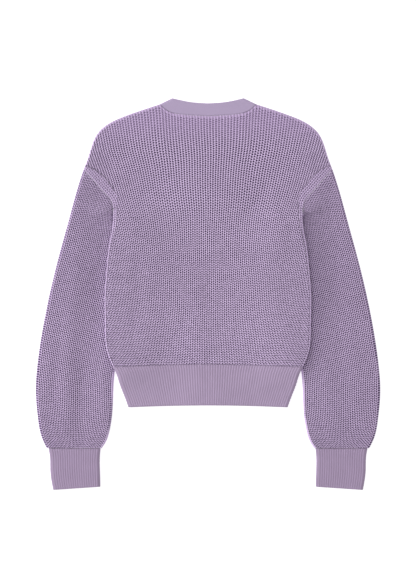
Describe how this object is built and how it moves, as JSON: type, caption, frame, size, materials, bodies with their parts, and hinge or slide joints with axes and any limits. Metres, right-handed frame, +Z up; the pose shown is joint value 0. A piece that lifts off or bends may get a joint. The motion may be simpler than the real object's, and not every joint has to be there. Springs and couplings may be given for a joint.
{
  "type": "cardigan",
  "caption": "Lilac knitted cardigan with balloon sleeves, laid flat on its front with its back up and its sleeves folded down beside it.",
  "frame": {"origin": "on the surface the cardigan lies on, under the middle of its outline", "axes": "+Z up from the surface, +Y from hem to neck, +X to the wearer's right"},
  "size_m": [0.635, 0.7234, 0.0174],
  "materials": {
    "body_knit": "matte",
    "rib_knit": "matte",
    "band_knit": "matte",
    "button": "satin"
  },
  "bodies": {
    "root": {"back": "body_knit", "front_left": "body_knit", "front_right": "body_knit", "sleeve_left": "body_knit", "sleeve_right": "body_knit", "cuff_left": "rib_knit", "cuff_right": "rib_knit", "hem_back": "rib_knit", "hem_front_left": "rib_knit", "hem_front_right": "rib_knit", "neckband": "band_knit", "button_band": "band_knit", "buttonhole_band": "band_knit", "button_1": "button", "button_2": "button", "button_3": "button", "button_4": "button", "button_5": "button"}
  },
  "joints": []
}
